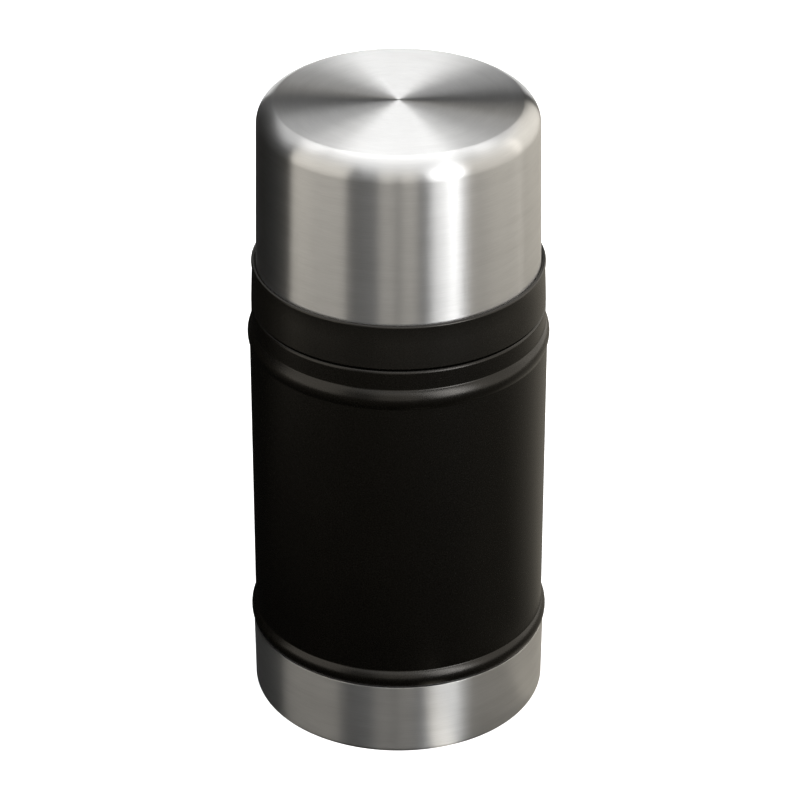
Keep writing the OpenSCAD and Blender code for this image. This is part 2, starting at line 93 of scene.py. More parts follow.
def addLugs(bm, lug, spans, firstTurn, stops=False):
    side = 1 if lug["tip"] > lug["root"] else -1
    depth = abs(lug["tip"] - lug["root"])
    foot = lug["root"] - side * lug["rootIn"]
    tipHalf = lug["half"] - lug["slope"] * depth
    footHalf = lug["half"] + lug["slope"] * lug["rootIn"]
    middle = (lug["root"] + lug["tip"]) / 2
    lean = math.atan(lug["pitch"] * 180 / (math.pi * middle))
    sections = [([(foot, -footHalf), (lug["tip"], -tipHalf), (lug["tip"], tipHalf),
                  (foot, footHalf)], -spans / 2, spans, lean)]
    if stops:
        drop = 2 * lug["half"]
        stopTip = lug["tip"] - side * lugs["stopShy"]
        sections.append(([(foot, -drop), (stopTip, -drop), (stopTip, 0), (foot, 0)],
                         -spans / 2 - lugs["stopBack"], lugs["stopSpan"], 0))
    for index in range(lugs["count"]):
        turn = math.radians(firstTurn + 360 / lugs["count"] * index)
        for section, start, sweep, tilt in sections:
            first = [bmesh.ops.create_vert(bm, co=(r * mm, 0, z * mm))["vert"][0]
                     for r, z in section]
            face = bmesh.ops.contextual_create(bm, geom=first)["faces"][0]
            before = set(bm.verts) - set(first)
            bmesh.ops.spin(bm, geom=[face] + face.edges[:] + first, cent=(0, 0, 0),
                           axis=(0, 0, 1), angle=math.radians(sweep),
                           steps=lugs["steps"], use_merge=False)
            new = [v for v in bm.verts if v not in before]
            lugFaces = list({f for v in new for f in v.link_faces})
            bmesh.ops.recalc_face_normals(bm, faces=lugFaces)
            place = (Matrix.Translation((0, 0, lug["height"] * mm))
                     @ Matrix.Rotation(turn, 4, "Z") @ Matrix.Rotation(tilt, 4, "X")
                     @ Matrix.Rotation(math.radians(start), 4, "Z"))
            bmesh.ops.transform(bm, matrix=place, verts=new)


# A finished piece: smooth shaded, its normals weighted by face area and then applied
finish = {"sharpFrom": 50, "weight": 80}


def makePiece(name, bm, body, material, nodes):
    mesh = bpy.data.meshes.new(name)
    bm.to_mesh(mesh)
    bm.free()
    mesh.shade_smooth()
    mesh.set_sharp_from_angle(angle=math.radians(finish["sharpFrom"]))
    piece = bpy.data.objects.new(name, mesh)
    scene.collection.objects.link(piece)
    weigh = piece.modifiers.new("weigh", "WEIGHTED_NORMAL")
    weigh.keep_sharp = True
    weigh.weight = finish["weight"]
    graph = bpy.context.evaluated_depsgraph_get()
    piece.data = bpy.data.meshes.new_from_object(piece.evaluated_get(graph))
    piece.data.name = name
    piece.modifiers.clear()
    piece.data.materials.clear()
    piece.data.materials.append(material)
    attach(piece, body)
    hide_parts(*nodes)


# Shader groups shared by several finishes
def newGroup(name, inputs, outputs):
    group = bpy.data.node_groups.new(name, "ShaderNodeTree")
    for label, kind, value in inputs:
        socket = group.interface.new_socket(label, in_out="INPUT", socket_type=kind)
        socket.default_value = value
    for label, kind in outputs:
        group.interface.new_socket(label, in_out="OUTPUT", socket_type=kind)
    entry = group.nodes.new("NodeGroupInput")
    leave = group.nodes.new("NodeGroupOutput")
    return group, entry, leave


def mathNode(tree, operation, first, second=None):
    node = tree.nodes.new("ShaderNodeMath")
    node.operation = operation
    for socket, value in zip(node.inputs, (first, second)):
        if value is None:
            continue
        if isinstance(value, bpy.types.NodeSocket):
            tree.links.new(value, socket)
        else:
            socket.default_value = value
    return node.outputs[0]


def noiseNode(tree, vector, scale, detail, roughness):
    node = tree.nodes.new("ShaderNodeTexNoise")
    node.inputs["Scale"].default_value = scale
    node.inputs["Detail"].default_value = detail
    node.inputs["Roughness"].default_value = roughness
    tree.links.new(vector, node.inputs["Vector"])
    return node.outputs["Fac"]


def rangeNode(tree, value, fromLow, fromHigh, toLow, toHigh):
    node = tree.nodes.new("ShaderNodeMapRange")
    node.inputs["From Min"].default_value = fromLow
    node.inputs["From Max"].default_value = fromHigh
    for label, limit in (("To Min", toLow), ("To Max", toHigh)):
        if isinstance(limit, bpy.types.NodeSocket):
            tree.links.new(limit, node.inputs[label])
        else:
            node.inputs[label].default_value = limit
    tree.links.new(value, node.inputs["Value"])
    return node.outputs["Result"]


def distanceFromAxis(tree, x, y):
    return mathNode(tree, "SQRT", mathNode(tree, "ADD", mathNode(tree, "MULTIPLY", x, x),
                                           mathNode(tree, "MULTIPLY", y, y)))


# Fine lines that run round the axis on walls, corners and discs alike: across them the
# pattern runs along height minus or plus radius, and along them it hardly changes
turnedValues = {"nearAxis": 0.0001, "lineDetail": 3.0, "lineRoughness": 0.65,
                "bandStretch": 2.0, "bandWidening": 0.05, "bandDetail": 2.0,
                "bandRoughness": 0.5}


def turnedLinesGroup():
    group, entry, leave = newGroup(
        "turnedLines",
        [("Lines per mm", "NodeSocketFloat", 6.0), ("Length", "NodeSocketFloat", 30.0),
         ("Side", "NodeSocketFloat", -1.0), ("Seed", "NodeSocketFloat", 0.0)],
        [("Lines", "NodeSocketFloat"), ("Bands", "NodeSocketFloat")])
    coords = group.nodes.new("ShaderNodeTexCoord")
    split = group.nodes.new("ShaderNodeSeparateXYZ")
    group.links.new(coords.outputs["Object"], split.inputs[0])
    x, y, z = split.outputs
    radius = distanceFromAxis(group, x, y)
    safeRadius = mathNode(group, "MAXIMUM", radius, turnedValues["nearAxis"])
    sideways = mathNode(group, "MULTIPLY", radius, entry.outputs["Side"])
    along = mathNode(group, "ADD", z, sideways)
    across = mathNode(group, "MULTIPLY", along,
                      mathNode(group, "MULTIPLY", entry.outputs["Lines per mm"], 1000))
    unitX = mathNode(group, "DIVIDE", x, safeRadius)
    unitY = mathNode(group, "DIVIDE", y, safeRadius)

    def patternAt(stretch, height, shift):
        join = group.nodes.new("ShaderNodeCombineXYZ")
        group.links.new(mathNode(group, "MULTIPLY", unitX, stretch), join.inputs[0])
        group.links.new(mathNode(group, "ADD", mathNode(group, "MULTIPLY", unitY, stretch),
                                 shift), join.inputs[1])
        group.links.new(height, join.inputs[2])
        return join.outputs[0]

    seed = entry.outputs["Seed"]
    lines = noiseNode(group, patternAt(entry.outputs["Length"], across, seed), 1.0,
                      turnedValues["lineDetail"], turnedValues["lineRoughness"])
    wide = mathNode(group, "MULTIPLY", across, turnedValues["bandWidening"])
    bands = noiseNode(group, patternAt(turnedValues["bandStretch"], wide, seed), 1.0,
                      turnedValues["bandDetail"], turnedValues["bandRoughness"])
    group.links.new(lines, leave.inputs["Lines"])
    group.links.new(bands, leave.inputs["Bands"])
    return group


# Grain of a baked powder coat or of moulded plastic, and slow clouds of colour
cloud = {"scale": 55.0, "detail": 3.0, "roughness": 0.55}


def surfaceGrainGroup():
    group, entry, leave = newGroup(
        "surfaceGrain",
        [("Grains per mm", "NodeSocketFloat", 3.0), ("Seed", "NodeSocketFloat", 0.0)],
        [("Grain", "NodeSocketFloat"), ("Cloud", "NodeSocketFloat")])
    coords = group.nodes.new("ShaderNodeTexCoord")
    move = group.nodes.new("ShaderNodeVectorMath")
    move.operation = "ADD"
    group.links.new(coords.outputs["Object"], move.inputs[0])
    group.links.new(entry.outputs["Seed"], move.inputs[1])
    scaled = group.nodes.new("ShaderNodeVectorMath")
    scaled.operation = "SCALE"
    group.links.new(move.outputs[0], scaled.inputs[0])
    group.links.new(mathNode(group, "MULTIPLY", entry.outputs["Grains per mm"], 1000),
                    scaled.inputs["Scale"])
    group.links.new(noiseNode(group, scaled.outputs[0], 1.0, 2.0, 0.6), leave.inputs["Grain"])
    group.links.new(noiseNode(group, coords.outputs["Object"], cloud["scale"],
                              cloud["detail"], cloud["roughness"]), leave.inputs["Cloud"])
    return group


turnedLines = turnedLinesGroup()
surfaceGrain = surfaceGrainGroup()


def startMaterial(name):
    material = bpy.data.materials.new(name)
    material.use_nodes = True
    tree = material.node_tree
    return material, tree, tree.nodes["Principled BSDF"]


def placeGroup(tree, group, values):
    node = tree.nodes.new("ShaderNodeGroup")
    node.node_tree = group
    for label, value in values.items():
        node.inputs[label].default_value = value
    return node


def mixColours(tree, factor, dark, light):
    node = tree.nodes.new("ShaderNodeMix")
    node.data_type = "RGBA"
    node.inputs[6].default_value = (*dark, 1)  # the node's sockets for colours
    node.inputs[7].default_value = (*light, 1)
    tree.links.new(factor, node.inputs[0])
    return node.outputs[2]


def bumpNode(tree, height, strength, distance):
    node = tree.nodes.new("ShaderNodeBump")
    node.inputs["Strength"].default_value = strength
    node.inputs["Distance"].default_value = distance
    tree.links.new(height, node.inputs["Height"])
    return node.outputs["Normal"]


noiseLow, noiseHigh = 0.3, 0.7  # nearly all of a noise lies between these
brushing = {"lineShare": 0.7, "bandShare": 0.3, "depth": 0.02}


def brushedSteel(name, look):
    material, tree, shader = startMaterial(name)
    lines = placeGroup(tree, turnedLines, {"Lines per mm": look["linesPerMm"],
                                           "Length": look["lineLength"],
                                           "Side": look["side"], "Seed": look["seed"]})
    shader.inputs["Metallic"].default_value = 1.0
    shader.inputs["Anisotropic"].default_value = look["anisotropic"]
    shader.inputs["Anisotropic Rotation"].default_value = look["turn"]
    tangent = tree.nodes.new("ShaderNodeTangent")
    tangent.direction_type = "RADIAL"
    tangent.axis = "Z"
    tree.links.new(tangent.outputs[0], shader.inputs["Tangent"])
    tone = mathNode(tree, "ADD", mathNode(tree, "MULTIPLY", lines.outputs["Lines"],
                                          brushing["lineShare"]),
                    mathNode(tree, "MULTIPLY", lines.outputs["Bands"],
                             brushing["bandShare"]))
    colour = mixColours(tree, rangeNode(tree, tone, noiseLow, noiseHigh, 0.0, 1.0),
                        look["darkColour"], look["lightColour"])
    tree.links.new(colour, shader.inputs["Base Color"])
    rough = look["roughness"]
    spread = look["roughnessSpread"]
    tree.links.new(rangeNode(tree, tone, noiseLow, noiseHigh, rough - spread,
                             rough + spread), shader.inputs["Roughness"])
    tree.links.new(bumpNode(tree, lines.outputs["Lines"], look["bump"],
                            brushing["depth"] * mm), shader.inputs["Normal"])
    return material


def grainedCoat(name, look):
    material, tree, shader = startMaterial(name)
    grain = placeGroup(tree, surfaceGrain, {"Grains per mm": look["grainsPerMm"],
                                            "Seed": look["seed"]})
    shader.inputs["Specular IOR Level"].default_value = look["specular"]
    shader.inputs["Specular Tint"].default_value = (*look.get("specularTint", (1, 1, 1)), 1)
    colour = mixColours(tree, grain.outputs["Cloud"], look["darkColour"], look["lightColour"])
    tree.links.new(colour, shader.inputs["Base Color"])
    rough = look["roughness"]
    spread = look["roughnessSpread"]
    tree.links.new(rangeNode(tree, grain.outputs["Grain"], noiseLow, noiseHigh,
                             rough - spread, rough + spread), shader.inputs["Roughness"])
    tree.links.new(bumpNode(tree, grain.outputs["Grain"], look["bump"],
                            look["depth"] * mm), shader.inputs["Normal"])
    return material


lidSteelLook = brushedSteel("lidSteel", {
    "darkColour": (0.55, 0.549, 0.544), "lightColour": (0.655, 0.654, 0.649),
    "roughness": 0.31, "roughnessSpread": 0.02, "anisotropic": 1.0, "turn": 0.25,
    "linesPerMm": 9.0, "lineLength": 7.0, "side": -1.0, "seed": 3.0, "bump": 0.45})
baseSteelLook = brushedSteel("baseSteel", {
    "darkColour": (0.565, 0.563, 0.556), "lightColour": (0.68, 0.678, 0.67),
    "roughness": 0.34, "roughnessSpread": 0.025, "anisotropic": 1.0, "turn": 0.24,
    "linesPerMm": 8.0, "lineLength": 6.0, "side": 1.0, "seed": 7.0, "bump": 0.45})
vesselSteelLook = brushedSteel("vesselSteel", {
    "darkColour": (0.5, 0.49, 0.475), "lightColour": (0.6, 0.59, 0.57),
    "roughness": 0.38, "roughnessSpread": 0.04, "anisotropic": 0.7, "turn": 0.25,
    "linesPerMm": 5.0, "lineLength": 10.0, "side": -1.0, "seed": 11.0, "bump": 0.3})
bareSteelLook = brushedSteel("bareSteel", {
    "darkColour": (0.45, 0.44, 0.43), "lightColour": (0.56, 0.55, 0.54),
    "roughness": 0.4, "roughnessSpread": 0.05, "anisotropic": 0.4, "turn": 0.25,
    "linesPerMm": 4.0, "lineLength": 8.0, "side": 1.0, "seed": 13.0, "bump": 0.25})
springWireLook = brushedSteel("springWire", {
    "darkColour": (0.5, 0.5, 0.5), "lightColour": (0.65, 0.65, 0.65),
    "roughness": 0.25, "roughnessSpread": 0.04, "anisotropic": 0.2, "turn": 0.25,
    "linesPerMm": 6.0, "lineLength": 6.0, "side": 1.0, "seed": 17.0, "bump": 0.1})
foilLook = grainedCoat("radiationFoil", {
    "darkColour": (0.74, 0.74, 0.75), "lightColour": (0.86, 0.86, 0.87), "specular": 0.5,
    "roughness": 0.25, "roughnessSpread": 0.08, "grainsPerMm": 0.4, "seed": 1.0,
    "bump": 0.5, "depth": 0.2})
coatLook = grainedCoat("shellCoat", {
    "darkColour": (0.0012, 0.001, 0.0006), "lightColour": (0.002, 0.0017, 0.0011),
    "specular": 0.45, "specularTint": (1.0, 0.96, 0.91), "roughness": 0.28,
    "roughnessSpread": 0.05, "grainsPerMm": 3.6, "seed": 0.4, "bump": 0.27, "depth": 0.05})
collarLook = grainedCoat("collarPlastic", {
    "darkColour": (0.003, 0.0027, 0.0021), "lightColour": (0.0042, 0.0038, 0.003),
    "specular": 0.5, "specularTint": (1.0, 0.96, 0.9), "roughness": 0.28,
    "roughnessSpread": 0.02, "grainsPerMm": 5.0, "seed": 0.9, "bump": 0.06, "depth": 0.02})
neckLook = grainedCoat("neckPlastic", {
    "darkColour": (0.012, 0.0115, 0.011), "lightColour": (0.017, 0.0165, 0.016),
    "specular": 0.5, "roughness": 0.45, "roughnessSpread": 0.03, "grainsPerMm": 4.0,
    "seed": 1.3, "bump": 0.1, "depth": 0.02})
stopperLook = grainedCoat("stopperPlastic", {
    "darkColour": (0.014, 0.0135, 0.013), "lightColour": (0.02, 0.0195, 0.019),
    "specular": 0.5, "roughness": 0.42, "roughnessSpread": 0.03, "grainsPerMm": 4.0,
    "seed": 1.7, "bump": 0.1, "depth": 0.02})
gripLook = grainedCoat("gripPlastic", {
    "darkColour": (0.01, 0.0097, 0.0093), "lightColour": (0.014, 0.0136, 0.013),
    "specular": 0.5, "roughness": 0.52, "roughnessSpread": 0.04, "grainsPerMm": 2.6,
    "seed": 2.1, "bump": 0.22, "depth": 0.03})
buttonLook = grainedCoat("buttonPlastic", {
    "darkColour": (0.075, 0.076, 0.08), "lightColour": (0.09, 0.091, 0.096),
    "specular": 0.5, "roughness": 0.3, "roughnessSpread": 0.02, "grainsPerMm": 4.0,
    "seed": 2.5, "bump": 0.05, "depth": 0.02})
sealLook = grainedCoat("sealRubber", {
    "darkColour": (0.46, 0.45, 0.42), "lightColour": (0.56, 0.55, 0.52), "specular": 0.3,
    "roughness": 0.6, "roughnessSpread": 0.05, "grainsPerMm": 3.0, "seed": 2.9,
    "bump": 0.12, "depth": 0.03})
foamLook = grainedCoat("insulationFoam", {
    "darkColour": (0.7, 0.66, 0.55), "lightColour": (0.86, 0.83, 0.74), "specular": 0.2,
    "roughness": 0.9, "roughnessSpread": 0.05, "grainsPerMm": 1.2, "seed": 3.3,
    "bump": 0.7, "depth": 0.25})
getterLook = grainedCoat("getterMetal", {
    "darkColour": (0.08, 0.08, 0.085), "lightColour": (0.15, 0.15, 0.155), "specular": 0.5,
    "roughness": 0.7, "roughnessSpread": 0.08, "grainsPerMm": 4.0, "seed": 3.7,
    "bump": 0.5, "depth": 0.05})
brazeLook = grainedCoat("brazePlug", {
    "darkColour": (0.36, 0.31, 0.24), "lightColour": (0.5, 0.44, 0.35), "specular": 0.5,
    "roughness": 0.45, "roughnessSpread": 0.1, "grainsPerMm": 1.5, "seed": 4.1,
    "bump": 0.4, "depth": 0.1})
for metalLook in (foilLook, getterLook, brazeLook):
    metalLook.node_tree.nodes["Principled BSDF"].inputs["Metallic"].default_value = 1.0
print("materials made:", len(bpy.data.materials))


# Coated shell with its two rolled beads. Rows are heights or (radius, height) that only
# divide a wall; a bead's hollow is its inside
shell = {"wall": 47.5, "low": 47.35, "foot": 2.4, "sheet": 0.6, "rim": 47.7,
         "rimHeight": 25.85, "rows": (40, 80, 120, 129.2), "neckWall": 46.8,
         "neckWallFrom": 138, "bend": 45.8, "bendHeight": 141.3, "ledge": 43,
         "shoulder": 142.3, "neck": 39.9, "neckTop": 157.5, "insideShoulder": 141.7,
         "insideBend": 46.2, "insideFrom": 135.6, "insideRim": 25.2, "edge": 0.25,
         "edgesFrom": 26.5}
lowBead = {"crest": 28.5, "downRadius": 3.628, "downDegrees": 46.9, "upRadius": 4.956,
           "upDegrees": 43.3, "out": 48.85, "hollow": 48.2, "hollowLow": 25.9,
           "hollowHigh": 32}
highBead = {"crest": 132.0, "downRadius": 6.356, "downDegrees": 26.14, "upRadius": 5.475,
            "upDegrees": 41.11, "out": 48.15, "hollow": 47.5, "hollowLow": 129}


def beadSteps(bead):
    return [(bead["out"] - bead["downRadius"], bead["crest"], bead["downDegrees"], 10),
            (bead["out"] - bead["upRadius"], bead["crest"], bead["upDegrees"], 14)]


inner = shell["wall"] - shell["sheet"]
bm = drawOutline([
    (shell["low"], shell["foot"]), (shell["low"], shell["rimHeight"]),
    (shell["rim"], shell["rimHeight"]), *beadSteps(lowBead),
    *[(shell["wall"], height) for height in shell["rows"]], *beadSteps(highBead),
    (shell["neckWall"], shell["neckWallFrom"]), (shell["neckWall"], shell["bendHeight"]),
    (shell["bend"], shell["bendHeight"], 90, 8), (shell["ledge"], shell["shoulder"]),
    (shell["neck"], shell["shoulder"]), (shell["neck"], shell["neckTop"]),
    (shell["neck"] - shell["sheet"], shell["neckTop"]),
    (shell["neck"] - shell["sheet"], shell["insideShoulder"]),
    (shell["bend"], shell["insideShoulder"]), (shell["insideBend"], shell["bendHeight"]),
    (shell["insideBend"], shell["insideFrom"]), (highBead["hollow"], highBead["crest"]),
    (inner, highBead["hollowLow"]), (inner, lowBead["hollowHigh"]),
    (lowBead["hollow"], lowBead["crest"]), (inner, lowBead["hollowLow"]),
    (shell["low"] - shell["sheet"], shell["insideRim"]),
    (shell["low"] - shell["sheet"], shell["foot"]), (shell["low"], shell["foot"])])
spinRound(bm)
roundEdges(bm, shell["edge"], degrees=22, segments=3, low=shell["edgesFrom"])
makePiece("coatedShell", bm, "jar", coatLook, ["outer_shell"])
print("coated shell made")

# Bare steel band that the shell stands in, with a dished bottom
band = {"rim": 48.2, "top": 25.8, "sheet": 0.5, "low": 47.95, "corner": 2.0, "foot": 38.95,
        "footOut": 42, "dish": 1.0, "bottomRow": 20, "rows": ((48.0, 8), (48.1, 17)),
        "edge": 0.12}
bandBend = band["low"] - band["corner"]
bm = drawOutline([
    (0, band["dish"]), (band["bottomRow"], band["dish"]),
    (band["foot"] - band["dish"], band["dish"]), (band["foot"], 0), (band["footOut"], 0),
    (bandBend, 0), (bandBend, band["corner"], 90, 10), *band["rows"],
    (band["rim"], band["top"]), (band["rim"] - band["sheet"], band["top"]),
    (band["low"] - band["sheet"], band["corner"]), (bandBend, band["corner"], -90, 8),
    (band["foot"], band["sheet"]),
    (band["foot"] - band["dish"], band["dish"] + band["sheet"]),
    (0, band["dish"] + band["sheet"])])
spinRound(bm)
roundEdges(bm, band["edge"], degrees=35, segments=3)
makePiece("baseBand", bm, "jar", baseSteelLook, ["base_cup"])
print("base band made")

# Steel cup of the lid, its corner rolled into a spun top. The corner's arc stops short
# of level by the crease, in degrees; the dome's steps are radius and rise above there
cup = {"low": 156.375, "lowRadius": 45.03, "sheet": 0.5, "corner": 7.5,
       "cornerRadius": 44.066, "cornerHeight": 204.5, "top": 212.0, "crease": 16.5,
       "rows": ((44.87, 164), (44.6, 178), (44.32, 192)), "insideRow": (43.82, 192),
       "dome": ((38.2, 0.01), (30, 0.12), (20, 0.22), (10, 0.29)), "edge": 0.12}
cornerCentre = cup["cornerRadius"] - cup["corner"]
lean = math.radians(cup["crease"])
discTop = cup["cornerHeight"] + cup["corner"] * math.cos(lean)
discInside = cornerCentre + (cup["corner"] - cup["sheet"]) * math.sin(lean)
insideRadius, insideRise = cup["dome"][2]
bm = drawOutline([
    (cup["lowRadius"], cup["low"]), *cup["rows"],
    (cup["cornerRadius"], cup["cornerHeight"]),
    (cornerCentre, cup["cornerHeight"], 90 - cup["crease"], 24),
    *[(radius, discTop + rise) for radius, rise in cup["dome"]], (0, cup["top"]),
    (0, cup["top"] - cup["sheet"]), (insideRadius, discTop - cup["sheet"] + insideRise),
    (discInside, discTop - cup["sheet"]),
    (cornerCentre, cup["cornerHeight"], cup["crease"] - 90, 12), cup["insideRow"],
    (cup["lowRadius"] - cup["sheet"], cup["low"]), (cup["lowRadius"], cup["low"])])
spinRound(bm)
roundEdges(bm, cup["edge"], degrees=35, segments=3)
makePiece("lidSteelCup", bm, "lid", lidSteelLook, ["cup_shell"])

# Steel liner inside the lid, the bowl of the cup
liner = {"rim": 43.2, "rimHeight": 161.25, "sheet": 0.5, "mouth": 41.3, "corner": 5.8,
         "ceiling": 208.1, "top": 40.478, "row": (41.2, 192), "ceilingRow": 20,
         "insideRows": ((40.7, 191), (41.0, 175)), "edge": 0.15}
linerBend = liner["top"] - liner["corner"]
bendHeight = liner["ceiling"] - liner["corner"]
bm = drawOutline([
    (liner["rim"], liner["rimHeight"]), (liner["rim"], liner["rimHeight"] + liner["sheet"]),
    (liner["mouth"] + liner["sheet"], liner["rimHeight"] + liner["sheet"]),
    liner["row"], (liner["top"] + liner["sheet"], bendHeight),
    (linerBend, bendHeight, 90, 12),
    (liner["ceilingRow"], liner["ceiling"] + liner["sheet"]),
    (0, liner["ceiling"] + liner["sheet"]), (0, liner["ceiling"]),
    (liner["ceilingRow"], liner["ceiling"]), (linerBend, liner["ceiling"]),
    (linerBend, bendHeight, -90, 16), *liner["insideRows"],
    (liner["mouth"], liner["rimHeight"]), (liner["rim"], liner["rimHeight"])])
spinRound(bm)
roundEdges(bm, liner["edge"], degrees=40, segments=3)
makePiece("lidLiner", bm, "lid", vesselSteelLook, ["cup_liner"])

# Plastic collar with a rolled lip, a groove for the cup, a gasket seat with a catch that
# keeps the gasket in, and four lugs
collar = {"skirt": 44.4, "low": 143.0, "wall": 46.8, "rows": ((46.65, 148), (46.5, 151.5)),
          "topWall": 46.35, "topWallHeight": 155.1, "lip": 46.55, "lipWidth": 1.35,
          "lipTop": 157.8, "groove": 156.075, "grooveWall": 44.485, "sleeveWall": 44.335,
          "sleeve": 163.55, "bore": 43.25, "seat": 41.3, "seatTop": 161.25,
          "seatLow": 159.75, "catch": 42.65, "catchHeights": (157.4, 157.05, 156.7, 156.35),
          "skirtTop": 154.6, "skirtRow": 148, "edge": 0.22, "edgesTo": 143.1}
collarLug = {"root": 44.4, "tip": 42.65, "rootIn": 0.4, "half": 1.7, "slope": 0.4,
             "pitch": 0.012, "height": 149.43}
lipRound = collar["lipWidth"] / 2
lipCentre = collar["lip"] - lipRound
catchTop, catchFull, catchHold, catchLow = collar["catchHeights"]
bm = drawOutline([
    (collar["skirt"], collar["low"]), (collar["wall"], collar["low"]), *collar["rows"],
    (collar["topWall"], collar["topWallHeight"]),
    (collar["lip"], collar["lipTop"] - lipRound),
    (lipCentre, collar["lipTop"] - lipRound, 180, 12),
    (collar["lip"] - collar["lipWidth"], collar["groove"]),
    (collar["grooveWall"], collar["groove"]), (collar["sleeveWall"], collar["sleeve"]),
    (collar["bore"], collar["sleeve"]), (collar["bore"], collar["seatTop"]),
    (collar["seat"], collar["seatTop"]), (collar["seat"], collar["seatLow"]),
    (collar["bore"], collar["seatLow"]), (collar["bore"], catchTop),
    (collar["catch"], catchFull), (collar["catch"], catchHold), (collar["bore"], catchLow),
    (collar["bore"], collar["skirtTop"]), (collar["skirt"], collar["skirtTop"]),
    (collar["skirt"], collar["skirtRow"]), (collar["skirt"], collar["low"])])
spinRound(bm)
roundEdges(bm, collar["edge"], degrees=40, segments=3, high=collar["edgesTo"])
addLugs(bm, collarLug, spans=30, firstTurn=0)
makePiece("lidCollar", bm, "lid", collarLook, ["cup_collar"])
print("lid made")

# Plastic ring on the neck, with the lid's fixed lugs and their stops
neckRing = {"inside": 39.95, "wall": 42.3, "low": 142.3, "rows": (148, 153), "top": 157.5,
            "insideRow": 150, "edge": 0.3}
neckLug = {"root": 42.3, "tip": 44.05, "rootIn": 0.4, "half": 1.7, "slope": 0.4,
           "pitch": 0.012, "height": 151.6}
bm = drawOutline([
    (neckRing["inside"], neckRing["low"]), (neckRing["wall"], neckRing["low"]),
    *[(neckRing["wall"], height) for height in neckRing["rows"]],
    (neckRing["wall"], neckRing["top"]), (neckRing["inside"], neckRing["top"]),
    (neckRing["inside"], neckRing["insideRow"]), (neckRing["inside"], neckRing["low"])])
spinRound(bm)
roundEdges(bm, neckRing["edge"], degrees=40, segments=3)
addLugs(bm, neckLug, spans=43, firstTurn=45, stops=True)
makePiece("neckRing", bm, "jar", neckLook, ["neck_ring"])

# Food vessel: rolled rim, narrow neck with the stopper's lugs, wide body, round bottom
vessel = {"wall": 42.8, "sheet": 0.5, "floor": 9.9, "corner": 8.0, "mouth": 38.3,
          "rim": 39.9, "rimTop": 158.0, "floorRow": 20, "wallRow": 60, "wallTop": 134,
          "neckLow": 140, "neckRow": 148, "edge": 0.18, "edgesFrom": 100}
vesselLug = {"root": 38.3, "tip": 36.8, "rootIn": 0.4, "half": 1.6, "slope": 0.4,
             "pitch": 0.016, "height": 152.6}
vesselBend = vessel["wall"] - vessel["corner"]
cornerHeight = vessel["floor"] + vessel["corner"]
bm = drawOutline([
    (0, vessel["floor"]), (vessel["floorRow"], vessel["floor"]),
    (vesselBend, vessel["floor"]), (vesselBend, cornerHeight, 90, 14),
    (vessel["wall"], vessel["wallRow"]), (vessel["wall"], vessel["wallTop"]),
    (vessel["mouth"], vessel["neckLow"]), (vessel["mouth"], vessel["neckRow"]),
    (vessel["mouth"], vessel["rimTop"]), (vessel["rim"], vessel["rimTop"]),
    (vessel["rim"], vessel["rimTop"] - vessel["sheet"]),
    (vessel["mouth"] + vessel["sheet"], vessel["rimTop"] - vessel["sheet"]),
    (vessel["mouth"] + vessel["sheet"], vessel["neckLow"]),
    (vessel["wall"] + vessel["sheet"], vessel["wallTop"]),
    (vessel["wall"] + vessel["sheet"], cornerHeight), (vesselBend, cornerHeight, -90, 12),
    (0, vessel["floor"] - vessel["sheet"])])
spinRound(bm)
roundEdges(bm, vessel["edge"], degrees=30, segments=3, low=vessel["edgesFrom"])
addLugs(bm, vesselLug, spans=43, firstTurn=45, stops=True)
makePiece("foodVessel", bm, "jar", vesselSteelLook, ["inner_vessel"])
print("neck and vessel made")

# Stopper: threaded barrel with a flange, and a fluted grip round the vent button
barrel = {"bore": 2.55, "low": 131, "floorRow": 20, "wall": 36.45, "wallRow": 146,
          "flangeLow": 160.55, "flange": 40.2, "flangeTop": 162.75, "inside": 34.65,
          "floorTop": 133, "tube": 5.9, "tubeTop": 156, "well": 4.4, "wellFloor": 149.4,
          "footEdge": 0.5, "footEdgeTo": 131.1, "rimEdge": 0.3, "rimEdgeFrom": 160}
barrelLug = {"root": 36.45, "tip": 37.95, "rootIn": 0.4, "half": 1.6, "slope": 0.4,
             "pitch": 0.016, "height": 150.71}
bm = drawOutline([
    (barrel["bore"], barrel["low"]), (barrel["floorRow"], barrel["low"]),
    (barrel["wall"], barrel["low"]), (barrel["wall"], barrel["wallRow"]),
    (barrel["wall"], barrel["flangeLow"]), (barrel["flange"], barrel["flangeLow"]),
    (barrel["flange"], barrel["flangeTop"]), (barrel["inside"], barrel["flangeTop"]),
    (barrel["inside"], barrel["floorTop"]), (barrel["tube"], barrel["floorTop"]),
    (barrel["tube"], barrel["tubeTop"]), (barrel["well"], barrel["tubeTop"]),
    (barrel["well"], barrel["wellFloor"]), (barrel["bore"], barrel["wellFloor"]),
    (barrel["bore"], barrel["low"])])
spinRound(bm)
roundEdges(bm, barrel["footEdge"], degrees=40, segments=4, high=barrel["footEdgeTo"])
roundEdges(bm, barrel["rimEdge"], degrees=40, segments=3, low=barrel["rimEdgeFrom"])
addLugs(bm, barrelLug, spans=30, firstTurn=0)
makePiece("stopperBarrel", bm, "stopper", stopperLook, ["stopper_body"])

